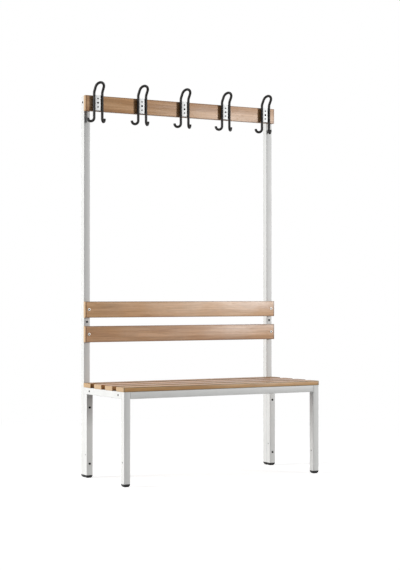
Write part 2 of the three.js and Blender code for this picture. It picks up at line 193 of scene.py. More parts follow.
class Shade(Nodes):
    """A material under construction, with short calls for the nodes that the finishes share."""

    def __init__(self, name: str) -> None:
        """Starts a material of that name, with its shader and output."""
        self.material = bpy.data.materials.new(name)
        self.material.use_nodes = True
        super().__init__(self.material.node_tree)
        self.shader = self.tree.nodes["Principled BSDF"]
        self.coordinates = self.new("ShaderNodeTexCoord")

    def feed(self, socket: str, source: Socket | float) -> None:
        """Links a source to one of the shader's sockets, or sets a uniform value on it."""
        self.wire(self.shader, {socket: source})

    def noise(self, grain: Grain, offset: Point = (0.0, 0.0, 0.0)) -> Socket:
        """Adds a noise.

        Args:
            grain: the noise.
            offset: how far it is moved along each axis, in metres.

        Returns:
            Its factor, from 0 to 1.
        """
        place = {"Vector": self.coordinates.outputs["Object"], "Location": offset}
        mapping = self.wire(self.new("ShaderNodeMapping"), place | {"Scale": grain.axes})
        inputs = {"Vector": mapping.outputs["Vector"], "Scale": grain.scale}
        inputs |= {"Detail": grain.detail, "Roughness": grain.roughness}
        inputs["Distortion"] = grain.distortion
        return self.wire(self.new("ShaderNodeTexNoise"), inputs).outputs["Fac"]

    def ramp(self, factor: Socket, stops: Stops) -> Socket:
        """A colour ramp.

        Args:
            factor: what drives it.
            stops: positions and colours.

        Returns:
            The colour.
        """
        node = self.new("ShaderNodeValToRGB")
        elements = node.color_ramp.elements
        while len(elements) < len(stops):
            elements.new(0.5)
        for element, (position, colour) in zip(elements, stops):
            element.position = position
            element.color = (*colour, 1.0)
        return self.wire(node, {"Fac": factor}).outputs["Color"]

    def grey(self, factor: Socket, band: Band) -> Socket:
        """A value that follows a factor.

        Args:
            factor: what drives it.
            band: its first and last value, and the factor at which each of them is reached.

        Returns:
            The value.
        """
        first, last, start, end = band
        return self.ramp(factor, [(start, (first,) * 3), (end, (last,) * 3)])

    def mix(
        self, factor: Socket | float, first: Socket, second: Socket | Colour, blend: str = "MIX"
    ) -> Socket:
        """Mixes two colours.

        Args:
            factor: the share of the second one.
            first: the first colour.
            second: the second colour.
            blend: how they are blended.

        Returns:
            The mixed colour.
        """
        node = self.new("ShaderNodeMix")
        node.data_type = "RGBA"
        node.blend_type = blend
        return self.wire(node, {0: factor, 6: first, 7: second}).outputs[2]

    def bump(self, height: Socket, distance: float, strength: float) -> None:
        """Adds relief to the shader.

        Args:
            height: the relief, from 0 to 1.
            distance: its depth in metres.
            strength: how much of it shows.
        """
        inputs = {"Distance": distance, "Strength": strength, "Height": height}
        node = self.wire(self.new("ShaderNodeBump"), inputs)
        if self.shader.inputs["Normal"].is_linked:
            before = self.shader.inputs["Normal"].links[0].from_socket
            self.wire(node, {"Normal": before})
        self.feed("Normal", node.outputs["Normal"])


# ---- Finishes


@dataclass(frozen=True)
class BoardTone:
    """What sets one board apart from the others.

    Attributes:
        tint: what the wood's colours are multiplied by.
        sheen: the share of the usual gloss that it has.
        edge_shade: what the colour of its edges and narrow faces is multiplied by, as painted
            shade.
    """

    tint: Colour
    sheen: float = 1.0
    edge_shade: Colour = (0.42, 0.37, 0.32)


@dataclass(frozen=True)
class Timber:
    """Lacquered reddish-brown hardwood with its grain along X.

    Attributes:
        board: number of the board, which moves the figure so that no two boards match.
        tone: the board's own tone.
        centre, half: the board's centre, and half of its size along each axis, in metres.
        arris: how far the painted shade on the edges reaches in along each axis, in millimetres.
        arris_core: the share of that reach where it is at its deepest.
        edge_shade_depth: how strongly the painted shade shows on the edges.
        narrow_shade_share: how much of that painted shade shows on the narrow faces.
        deep, middle, pale: the wood's tones, reached where the figure meets the tone_stops.
        pore: the tone of its pores.
        warm, cool: what the tone of the warmer and cooler patches is multiplied by.
        sawn_tones: the two tones of the growth rings on the sawn ends.
        step: how far the figure moves from board to board along each axis, in metres.
        figure, fibre, pores, clouds, rings: its noises; the rings are those of the sawn ends.
        growth_lines, cut_rings: how many growth lines the figure and the sawn ends have.
        line_band, streak_band, speck_band: how dark the growth lines, fibres and pores are.
        lacquer_band, sawn_band: the roughness of the lacquer and of the sawn ends.
        gloss_bands: the gloss of the lacquer over the patches and over the fibres.
        end_band: how squarely a face has to look along the board to count as sawn.
        shares: how much shows of the growth lines, the streaks and the pores.
        pore_depth, fibre_depth: the relief of the pores and the fibres, in metres.
    """

    board: int
    tone: BoardTone
    centre: Point
    half: Point
    arris: Point = (9.0, 4.4, 4.4)
    arris_core: float = 0.4
    edge_shade_depth: float = 0.85
    narrow_shade_share: float = 0.45
    deep: Colour = (0.440, 0.230, 0.098)
    middle: Colour = (0.570, 0.325, 0.150)
    pale: Colour = (0.660, 0.400, 0.205)
    pore: Colour = (0.310, 0.150, 0.065)
    tone_stops: Point = (0.30, 0.50, 0.70)
    warm: Colour = (1.04, 1.0, 0.95)
    cool: Colour = (0.97, 0.99, 1.04)
    sawn_tones: tuple[Colour, Colour] = ((0.375, 0.255, 0.149), (0.455, 0.322, 0.196))
    step: Point = (0.37, 0.071, 0.113)
    figure: Grain = Grain(2.1, 4.0, 0.55, 0.5, (1.1, 19.0, 19.0))
    fibre: Grain = Grain(1.0, 4.0, 0.6, axes=(5.0, 240.0, 240.0))
    pores: Grain = Grain(1.0, 2.0, axes=(34.0, 1500.0, 1500.0))
    clouds: Grain = Grain(1.6, 2.0, axes=(3.5, 9.0, 9.0))
    rings: Grain = Grain(1.0, 3.0, 0.6, 0.8, (0.0, 55.0, 120.0))
    growth_lines: float = 9.0
    cut_rings: float = 11.0
    line_band: Band = (0.82, 1.0, 0.02, 0.26)
    streak_band: Band = (0.84, 1.10, 0.32, 0.68)
    speck_band: Band = (1.0, 0.0, 0.30, 0.42)
    lacquer_band: Band = (0.29, 0.36, 0.3, 0.7)
    sawn_band: Band = (0.70, 0.80, 0.0, 1.0)
    gloss_bands: tuple[Band, Band] = ((0.18, 0.56, 0.3, 0.7), (0.14, 0.62, 0.35, 0.65))
    end_band: Band = (0.0, 1.0, 0.80, 0.92)
    shares: Point = (0.55, 0.8, 0.55)
    pore_depth: float = 0.00012
    fibre_depth: float = 0.00010

    def build(self) -> Material:
        """Makes the board's material."""
        shade = Shade(f"timber_{self.board}")
        offset = tuple(part * self.board for part in self.step)
        grains = (self.figure, self.fibre, self.pores, self.clouds)
        figure, fibre, pores, clouds = [shade.noise(grain, offset) for grain in grains]
        line_share, streak_share, pore_share = self.shares
        tones = [
            tuple(part * share for part, share in zip(tone, self.tone.tint))
            for tone in (self.deep, self.middle, self.pale)
        ]
        base = shade.ramp(figure, list(zip(self.tone_stops, tones)))
        growth = shade.maths("PINGPONG", shade.maths("MULTIPLY", figure, self.growth_lines), 0.5)
        patches = shade.ramp(clouds, [(0.3, self.warm), (0.7, self.cool)])
        lines, streaks = shade.grey(growth, self.line_band), shade.grey(fibre, self.streak_band)
        colour = shade.mix(line_share, base, lines, "MULTIPLY")
        colour = shade.mix(streak_share, colour, streaks, "MULTIPLY")
        colour = shade.mix(1.0, colour, patches, "MULTIPLY")
        specks = shade.grey(pores, self.speck_band)
        colour = shade.mix(shade.maths("MULTIPLY", specks, pore_share), colour, self.pore)
        # Painted shade: the edges and narrow faces are darkened towards the board's edge shade
        # colour.
        edges = shade.maths("MULTIPLY", self.edge_shade_share(shade), self.edge_shade_depth)
        edge_shaded = shade.mix(1.0, colour, self.tone.edge_shade, "MULTIPLY")
        colour = shade.mix(edges, colour, edge_shaded)
        ends = self.facing_ends(shade)
        shade.feed("Base Color", shade.mix(ends, colour, self.end_grain(shade, offset)))
        lacquered, sawn = shade.grey(fibre, self.lacquer_band), shade.grey(fibre, self.sawn_band)
        shade.feed("Roughness", shade.mix(ends, lacquered, sawn))
        patchy, fine = self.gloss_bands
        sheen = shade.mix(0.5, shade.grey(clouds, patchy), shade.grey(fibre, fine))
        shade.feed("Specular IOR Level", shade.maths("MULTIPLY", sheen, self.tone.sheen))
        shade.bump(specks, -self.pore_depth, 0.5)
        shade.bump(fibre, self.fibre_depth, 0.6)
        return shade.material

    def edge_shade_share(self, shade: Shade) -> Socket:
        """How near a point is to one of the board's rounded edges.

        Args:
            shade: the material.

        Returns:
            The share of painted shade: 0 in the middle of a broad face, 1 on an edge, and
            between the two on the narrow faces.
        """
        source = shade.coordinates.outputs["Object"]
        origin = (0.0, 0.0, 0.0)
        steps = (("SUBTRACT", self.centre), ("ABSOLUTE", origin), ("SUBTRACT", self.half))
        for operation, other in steps:
            node = shade.new("ShaderNodeVectorMath")
            node.operation = operation
            source = shade.wire(node, {0: source, 1: other}).outputs["Vector"]
        near = shade.new("ShaderNodeMapRange")
        near.data_type = "FLOAT_VECTOR"
        near.interpolation_type = "SMOOTHSTEP"
        reach = tuple(-reach * MM for reach in self.arris)
        core = tuple(-self.arris_core * reach * MM for reach in self.arris)
        shade.wire(near, {"Vector": source, 7: reach, 8: core})
        parts = shade.new("ShaderNodeSeparateXYZ")
        shade.wire(parts, {"Vector": near.outputs["Vector"]})
        total = shade.maths("ADD", parts.outputs["X"], parts.outputs["Y"])
        total = shade.maths("ADD", total, parts.outputs["Z"])
        arris = shade.maths("SUBTRACT", total, 1.0)
        narrow = parts.outputs["Y" if self.half[1] > self.half[2] else "Z"]
        narrow = shade.maths("MULTIPLY", narrow, self.narrow_shade_share)
        return shade.grey(shade.maths("MAXIMUM", arris, narrow), (0.0, 1.0, 0.0, 1.0))

    def facing_ends(self, shade: Shade) -> Socket:
        """How squarely a point faces along the board: 1 on the sawn ends, 0 elsewhere.

        Args:
            shade: the material.

        Returns:
            The share.
        """
        parts = shade.new("ShaderNodeSeparateXYZ")
        shade.wire(parts, {"Vector": shade.coordinates.outputs["Normal"]})
        facing = shade.maths("ABSOLUTE", parts.outputs["X"], 0.0)
        return shade.grey(facing, self.end_band)

    def end_grain(self, shade: Shade, offset: Point) -> Socket:
        """The cut growth rings of the two sawn ends.

        Args:
            shade: the material.
            offset: the board's own offset.

        Returns:
            Their colour.
        """
        rings = shade.noise(self.rings, offset)
        bands = shade.maths("PINGPONG", shade.maths("MULTIPLY", rings, self.cut_rings), 0.5)
        return shade.ramp(bands, list(zip((0.05, 0.4), self.sawn_tones)))


@dataclass(frozen=True)
class FramePaint:
    """Satin light grey powder coat with a faint orange peel and a little handling haze.

    Attributes:
        name: the material's name.
        light, dull: its clean colour, and its colour under the haze.
        haze, peel, dust: its noises, of which the last two give it relief.
        gloss_band: its roughness over the haze.
    """

    name: str = "frame_paint"
    light: Colour = (0.571, 0.573, 0.561)
    dull: Colour = (0.533, 0.535, 0.523)
    haze: Grain = Grain(1.6, 4.0, 0.6, axes=(6.0, 6.0, 3.0))
    peel: Grain = Grain(620.0, 2.0)
    dust: Grain = Grain(2600.0, 2.0, 0.6)
    gloss_band: Band = (0.38, 0.46, 0.35, 0.7)

    def build(self) -> Material:
        """Makes the material."""
        shade = Shade(self.name)
        haze = shade.noise(self.haze)
        shade.feed("Base Color", shade.ramp(haze, [(0.35, self.dull), (0.65, self.light)]))
        shade.feed("Roughness", shade.grey(haze, self.gloss_band))
        shade.bump(shade.noise(self.peel), 0.00004, 0.5)
        shade.bump(shade.noise(self.dust), 0.00001, 0.4)
        return shade.material


@dataclass(frozen=True)
class Coated:
    """A dark or grey non-metal skin: coated rod, blackened bolts, moulded plastic or painted bore
    shade.

    Attributes:
        name: the material's name.
        tone, worn: its colour, and that where it has rubbed or greyed.
        low, high: its lowest and highest roughness.
        texture, depth: the scale of its fine texture, and its depth in metres.
        gloss: how strongly it mirrors.
        haze: where it is worn.
    """

    name: str
    tone: Colour
    worn: Colour
    low: float
    high: float
    texture: float
    depth: float = 3e-5
    gloss: float = 0.2
    haze: Grain = Grain(60.0, 4.0, 0.65)

    def build(self) -> Material:
        """Makes the material."""
        shade = Shade(self.name)
        haze = shade.noise(self.haze)
        shade.feed("Base Color", shade.ramp(haze, [(0.42, self.tone), (0.78, self.worn)]))
        shade.feed("Roughness", shade.grey(haze, (self.low, self.high, 0.3, 0.7)))
        shade.feed("Specular IOR Level", self.gloss)
        shade.bump(shade.noise(Grain(self.texture, 2.0)), self.depth, 0.6)
        return shade.material


@dataclass(frozen=True)
class Bright:
    """Zinc-plated steel.

    Attributes:
        name: the material's name.
        light, dull: its clean colour, and that where the plating is dull.
        low, high: its lowest and highest roughness.
        metallic: how far it mirrors as bare metal does, the rest as a pale skin of plating.
        bloom, rolled: where the plating is dull, and the marks of rolling.
    """

    name: str
    light: Colour
    dull: Colour
    low: float
    high: float
    metallic: float = 1.0
    bloom: Grain = Grain(110.0, 4.0, 0.6)
    rolled: Grain = Grain(1.0, 3.0, 0.6, axes=(900.0, 900.0, 40.0))

    def build(self) -> Material:
        """Makes the material."""
        shade = Shade(self.name)
        bloom = shade.noise(self.bloom)
        shade.feed("Base Color", shade.ramp(bloom, [(0.35, self.dull), (0.65, self.light)]))
        shade.feed("Roughness", shade.grey(bloom, (self.low, self.high, 0.3, 0.7)))
        shade.feed("Metallic", self.metallic)
        shade.bump(shade.noise(self.rolled), 0.000015, 0.5)
        return shade.material


def made(finish: FramePaint | Coated | Bright) -> Material:
    """A field that holds the finish's material, which is built with the class's other fields."""
    return field(default_factory=finish.build)


@dataclass
class Finishes:
    """Every finish of the bench, made once."""

    paint: Material = made(FramePaint())
    rod: Material = made(
        Coated(
            "hook_black", (0.011, 0.010, 0.009), (0.020, 0.018, 0.017), 0.36, 0.48, 900, gloss=0.22
        )
    )
    bore: Material = made(
        # The bare steel inside the tubes, painted near black: partly the unpainted steel, mostly
        # painted shade.
        Coated("bore_steel_and_shade", (0.030, 0.028, 0.026), (0.050, 0.044, 0.038), 0.55, 0.75, 700)
    )
    foot: Material = made(
        Coated("foot_plastic", (0.014,) * 3, (0.030,) * 3, 0.48, 0.62, 1500, 4e-5)
    )
    plug: Material = made(
        Coated("plug_plastic", (0.006,) * 3, (0.012,) * 3, 0.50, 0.62, 1500, gloss=0.08)
    )
    cap: Material = made(
        Coated("cap_plastic", (0.63, 0.63, 0.615), (0.58, 0.58, 0.565), 0.5, 0.6, 1500, gloss=0.4)
    )
    bolt: Material = made(
        Coated("bolt_black", (0.004,) * 3, (0.009, 0.009, 0.008), 0.42, 0.54, 1200, 2e-5, 0.06)
    )
    plate: Material = made(
        Bright("plate_steel", (0.64, 0.65, 0.65), (0.60, 0.61, 0.61), 0.48, 0.54, 0.25)
    )
    rivet: Material = made(Bright("rivet_steel", (0.20,) * 3, (0.14,) * 3, 0.50, 0.60))
    screw: Material = made(
        Bright("screw_steel", (0.50, 0.49, 0.47), (0.42, 0.41, 0.39), 0.40, 0.50)
    )


# ---- Mesh helpers


def add_object(name: str, data: bpy.types.ID) -> Object:
    """Adds an object with that data to the scene.

    Args:
        name: the object's name.
        data: its mesh, lamp or camera.

    Returns:
        The object.
    """
    obj = bpy.data.objects.new(name, data)
    bpy.context.scene.collection.objects.link(obj)
    return obj


def make_object(name: str, shape: Shape) -> Object:
    """Turns a shape into an object with smooth faces and sharp creases.

    Args:
        name: the object's name.
        shape: the shape, which is freed.

    Returns:
        The object, linked to the scene.
    """
    bmesh.ops.remove_doubles(shape, verts=shape.verts, dist=WELD_DISTANCE)
    bmesh.ops.recalc_face_normals(shape, faces=shape.faces)
    mesh = bpy.data.meshes.new(name)
    shape.to_mesh(mesh)
    shape.free()
    smooth(mesh)
    return add_object(name, mesh)


def smooth(mesh: bpy.types.Mesh) -> None:
    """Shades a mesh smooth, except across its creases and its broad flat faces."""
    points = mesh.vertices
    for face in mesh.polygons:
        corners = [points[index].co for index in face.vertices]
        sides = zip(corners, corners[1:] + corners[:1])
        longest = max((one - other).length for one, other in sides)
        face.use_smooth = face.area < FLAT_WIDTH * longest
    mesh.set_sharp_from_angle(angle=SMOOTH_ANGLE)


def install(obj: Object, material: Material, slot: str, *nodes: str) -> Object:
    """Dresses a piece and fixes it to the bench.

    Args:
        obj: the piece.
        material: its finish.
        slot: the record's slot that the finish belongs to; not used.
        nodes: the nodes that it stands for.

    Returns:
        The piece.
    """
    obj.data.materials.append(material)
    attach(obj, "root")
    if nodes:
        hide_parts(*nodes)
    LOG.info("%s: %d faces, %s", obj.name, len(obj.data.polygons), material.name)
    return obj


def rounded_square(size: float, radius: float, steps: int = CORNER_STEPS) -> Outline:
    """The outline of a square with rounded corners.

    Args:
        size: its width.
        radius: the corners' radius.
        steps: the segments in each corner.

    Returns:
        Its points, anticlockwise.
    """
    half = size / 2 - radius
    points = []
    for corner, (sx, sy) in enumerate(((1, 1), (-1, 1), (-1, -1), (1, -1))):
        for step in range(steps + 1):
            angle = QUARTER * (corner + step / steps)
            x, y = sx * half + radius * math.cos(angle), sy * half + radius * math.sin(angle)
            points.append((x, y))
    return points


def circle(sides: int, radius: float = 1.0) -> Outline:
    """The corners of a regular polygon about the origin, the first of them on +X."""
    turns = [2 * math.pi * side / sides for side in range(sides)]
    return [(radius * math.cos(turn), radius * math.sin(turn)) for turn in turns]


def middle_of(node: str) -> Vector:
    """The middle of a node's box."""
    low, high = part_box(node)
    return (low + high) / 2


def bridge(shape: Shape, rings: list[Ring]) -> None:
    """Joins each ring of vertices to the next with a band of faces."""
    for low, high in zip(rings, rings[1:]):
        count = len(low)
        for index in range(count):
            after = (index + 1) % count
            shape.faces.new((low[index], low[after], high[after], high[index]))


def close(shape: Shape, rings: list[Ring]) -> None:
    """Joins each ring of vertices to the next, and closes the first and the last one."""
    bridge(shape, rings)
    shape.faces.new(list(reversed(rings[0])))
    shape.faces.new(rings[-1])


def lathe(profile: Outline, sides: int) -> Shape:
    """A solid of revolution about the Z axis.

    Args:
        profile: each ring's radius and height, from the lowest.
        sides: its facets.

    Returns:
        The shape.
    """
    shape = bmesh.new()
    rings = [
        [shape.verts.new((x, y, height)) for x, y in circle(sides, radius)]
        for radius, height in profile
    ]
    close(shape, rings)
    return shape


def prism(outline: Outline, bottom: float, top: float) -> Shape:
    """A straight prism along Z over the outline."""
    shape = bmesh.new()
    close(shape, [[shape.verts.new((x, y, z)) for x, y in outline] for z in (bottom, top)])
    return shape


def merge(target: Shape, other: Shape) -> None:
    """Adds the other shape to the target and frees the other."""
    scratch = bpy.data.meshes.new("scratch")
    other.to_mesh(scratch)
    other.free()
    target.from_mesh(scratch)
    bpy.data.meshes.remove(scratch)


def turned(direction: Point) -> Matrix:
    """The rotation that takes +Z to the direction."""
    return Vector((0, 0, 1)).rotation_difference(Vector(direction)).to_matrix().to_4x4()


def carve(obj: Object, cutter: Shape) -> None:
    """Cuts the cutter's volume out of a piece.

    Args:
        obj: the piece.
        cutter: what is cut away, which is freed.
    """
    tool = make_object("cutter", cutter)
    modifier = obj.modifiers.new("cut", "BOOLEAN")
    modifier.operation = "DIFFERENCE"
    modifier.solver = "EXACT"
    modifier.object = tool
    graph = bpy.context.evaluated_depsgraph_get()
    mesh = bpy.data.meshes.new_from_object(obj.evaluated_get(graph))
    obj.modifiers.clear()
    before = obj.data
    obj.data = mesh
    mesh.name = obj.name
    bpy.data.meshes.remove(before)
    bpy.data.objects.remove(tool)
    smooth(mesh)


@dataclass(frozen=True)
class Station:
    """A point of a bent rod and the direction in which the rod runs there."""

    point: Vector
    direction: Vector


def sweep(stations: list[Station], radius: float, sides: int, tip: float) -> Shape:
    """A round rod through the stations, with domed ends.

    Args:
        stations: its centreline.
        radius: its radius.
        sides: its facets.
        tip: how far each end domes out.

    Returns:
        The shape.
    """
    shape = bmesh.new()
    across = stations[0].direction.orthogonal().normalized()
    rings = []

    def ring(point: Vector, direction: Vector, width: float) -> None:
        """Adds one ring of vertices."""
        other = direction.cross(across)
        places = [point + width * (across * x + other * y) for x, y in circle(sides)]
        rings.append([shape.verts.new(place) for place in places])

    first, last = stations[0], stations[-1]
    for width, rise in DOME_SHARES:
        ring(first.point - first.direction * tip * rise, first.direction, radius * width)
    for station in stations:
        across = (across - station.direction * across.dot(station.direction)).normalized()
        ring(station.point, station.direction, radius)
    for width, rise in reversed(DOME_SHARES):
        ring(last.point + last.direction * tip * rise, last.direction, radius * width)
    close(shape, rings)
    return shape


# ---- Fasteners

HEAD_SIDES = 28
DOME_STEPS = 6
RIM_SHARE = 0.22
TIP_SHARE = 0.6
ARM_SHARE = 0.34
ROUND_SHARE = 0.98
CUT_ABOVE = 1.0
RIM_SLACK = 1.02
FLOOR_SLACK = 0.01 * MM
UPRIGHT = 0.1


@dataclass(frozen=True)
class FastenerForm:
    """A screw or bolt with a domed head, in millimetres.

    Attributes:
        head, rise: the head's radius and height.
        shank, length: the shank's radius and length.
        drive, recess, sink: the recess in the head, its radius and its depth.
        crown: the flat top's radius as a share of the head's.
    """

    head: float
    rise: float
    shank: float
    length: float
    drive: Drive
    recess: float
    sink: float
    crown: float = 0.45

    def profile(self) -> Outline:
        """The lathe profile, from the tip of the shank to the top of the head."""
        points = [
            (TIP_SHARE * self.shank, -self.length),
            (self.shank, -self.length + self.shank),
            (self.shank, 0.0),
            (self.head, 0.0),
        ]
        spread = self.head * (1 - self.crown)
        rim = RIM_SHARE * self.rise
        for step in range(1, DOME_STEPS + 1):
            angle = QUARTER * step / DOME_STEPS
            radius = self.head * self.crown + spread * math.cos(angle)
            points.append((radius, rim + (self.rise - rim) * math.sin(angle)))
        return [(radius * MM, height * MM) for radius, height in points]

    def recess_tool(self) -> Shape:
        """The shape cut out of the head for the driver."""
        bottom, top = (self.rise - self.sink) * MM, (self.rise + CUT_ABOVE) * MM
        reach = self.recess * MM
        if self.drive is Drive.HEXAGON:
            return prism(circle(6, reach), bottom, top)
        if self.drive is Drive.ROUND:
            return prism(rounded_square(2 * reach, ROUND_SHARE * reach, DOME_STEPS), bottom, top)
        arm = ARM_SHARE * reach
        outline = [
            (reach, -arm), (reach, arm), (arm, arm), (arm, reach), (-arm, reach), (-arm, arm),
            (-reach, arm), (-reach, -arm), (-arm, -arm), (-arm, -reach), (arm, -reach), (arm, -arm),
        ]
        return prism(outline, bottom, top)

    def mesh(self, name: str) -> bpy.types.Mesh:
        """Makes the fastener once, standing on Z = 0 with its head up.

        The faces of the recess take the second material, which can paint shade into the recess.
        """
        obj = make_object(name, lathe(self.profile(), HEAD_SIDES))
        carve(obj, self.recess_tool())
        mesh = obj.data
        bpy.data.objects.remove(obj)
        floor = (self.rise - self.sink) * MM
        for face in mesh.polygons:
            inside = face.center.xy.length < RIM_SLACK * self.recess * MM
            upright = abs(face.normal.z) < UPRIGHT and face.center.z > floor
            at_floor = abs(face.center.z - floor) < FLOOR_SLACK
            face.material_index = int(inside and (upright or at_floor))
        return mesh


LEG_BOLT = FastenerForm(5.0, 2.8, 3.0, 42.0, Drive.HEXAGON, 2.4, 1.8)
POST_BOLT = FastenerForm(4.8, 2.4, 3.0, 30.0, Drive.HEXAGON, 2.3, 1.6)
RAIL_BOLT = FastenerForm(4.7, 1.6, 2.3, 9.0, Drive.HEXAGON, 2.3, 1.1)
BACK_SCREW = FastenerForm(6.5, 2.2, 2.5, 27.0, Drive.HEXAGON, 3.9, 2.1, 0.7)
BOARD_SCREW = FastenerForm(4.2, 2.6, 2.2, 15.0, Drive.CROSS, 2.2, 1.6)
SEAT_SCREW = FastenerForm(4.4, 2.4, 2.2, 28.0, Drive.CROSS, 2.3, 1.5)
HOOK_SCREW = FastenerForm(4.5, 2.2, 2.1, 26.0, Drive.HEXAGON, 2.2, 1.4)
HOOK_RIVET = FastenerForm(3.8, 1.6, 1.2, 1.5, Drive.ROUND, 2.1, 0.9)
SIDE_PLUG = FastenerForm(5.0, 0.9, 3.4, 7.0, Drive.ROUND, 2.8, 0.5, 0.7)


@dataclass
class FastenerSet:
    """All fasteners of one form.

    Attributes:
        title: the mesh's name.
        form: the fastener's form.
        material: its finish.
        slot: the record's slot.
        recess: a dark finish that paints shade inside the recess, if it isn't the head's.
        turn: each head's own turn of the recess, in degrees, one after the other.
        count: how many are placed.
    """

    title: str
    form: FastenerForm
    material: Material
    slot: str
    recess: Material | None = None
    turn: tuple[float, ...] = (12.0, 47.0, 81.0, 29.0, 64.0, 5.0, 38.0)
    count: int = 0

    def __post_init__(self) -> None:
        """Makes the shared mesh."""
        self.shared = self.form.mesh(self.title)

    def put(self, name: str, point: Point, facing: Facing, *nodes: str) -> Object:
        """Places one fastener.

        Args:
            name: the piece's name.
            point: where the head's underside meets its seat, in metres.
            facing: where the head looks.
            nodes: the nodes that it stands for.

        Returns:
            The piece.
        """
        obj = add_object(name, self.shared.copy())
        spin = Matrix.Rotation(math.radians(self.turn[self.count % len(self.turn)]), 4, "Z")
        obj.data.transform(Matrix.Translation(point) @ turned(facing.value) @ spin)
        self.count += 1
        install(obj, self.material, self.slot, *nodes)
        # The second material is the painted shade in the recess, or else the head's own finish.
        obj.data.materials.append(self.recess or self.material)
        return obj

    def put_on_node(self, node: str, facing: Facing) -> Object:
        """Places one fastener exactly where a node has it.

        Args:
            node: the node.
            facing: where the head looks.

        Returns:
            The piece.
        """
        middle = middle_of(node)
        direction = Vector(facing.value)
        crown = max(corner.dot(direction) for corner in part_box(node))
        seat = middle + direction * (crown - self.form.rise * MM - middle.dot(direction))
        return self.put(f"{node}_piece", tuple(seat), facing, node)


# ---- Steel frame


@dataclass(frozen=True)
class Hole:
    """A round hole in a tube: its axis, centre, radius and length, in metres."""

    axis: Axis
    centre: Point
    radius: float
    length: float

    def tool(self) -> Shape:
        """The drill's shape, in place."""
        direction = tuple(float(index == self.axis.value) for index in range(3))
        shape = prism(circle(DRILL_SIDES, self.radius), -self.length / 2, self.length / 2)
        shape.transform(Matrix.Translation(self.centre) @ turned(direction))
        return shape


@dataclass
class SquareTube:
    """A square steel tube that stands for one node.

    Attributes:
        node: the node.
        axis: the axis that the tube runs along.
        wall, corner, ease: the wall's thickness, the outer corner radius, and the break on the
            sawn ends' outer edge, in millimetres.
        holes: the holes drilled in it.
    """

    node: str
    axis: Axis
    wall: float = 1.5
    corner: float = 2.0
    ease: float = 0.35
    holes: list[Hole] = field(default_factory=list)

    def build(self) -> Object:
        """Makes the tube."""
        low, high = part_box(self.node)
        along = self.axis.value
        first, second = [index for index in range(3) if index != along]
        middle = (low + high) / 2
        width = min(high[index] - low[index] for index in (first, second))
        # What stands proud of a tube lies at its low side, so it is centred from the high one.
        for index in (first, second):
            middle[index] = high[index] - width / 2
        shape = bmesh.new()

        def ring(at: float, inset: float, radius: float) -> Ring:
            """One square ring of vertices."""
            verts = []
            size = width - 2 * inset
            for u, v in rounded_square(size, radius):
                point = Vector()
                point[along] = at
                point[first], point[second] = middle[first] + u, middle[second] + v
                verts.append(shape.verts.new(point))
            return verts

        ease, wall, corner = self.ease * MM, self.wall * MM, self.corner * MM
        start, end = low[along], high[along]
        rings = [
            ring(start, wall, corner - wall),
            ring(start, ease, corner - ease),
            ring(start + ease, 0.0, corner),
            ring(end - ease, 0.0, corner),
            ring(end, ease, corner - ease),
            ring(end, wall, corner - wall),
        ]
        bridge(shape, rings + rings[:1])
        obj = make_object(f"{self.node}_tube", shape)
        if self.holes:
            tools = bmesh.new()
            for hole in self.holes:
                merge(tools, hole.tool())
            carve(obj, tools)
        # The inside faces take the second material, the near-black bore finish that paints the
        # shade inside the tube.
        bore = width / 2 - BORE_SHARE * wall
        for face in obj.data.polygons:
            aside = max(abs(face.center[index] - middle[index]) for index in (first, second))
            face.material_index = int(aside < bore)
        return obj


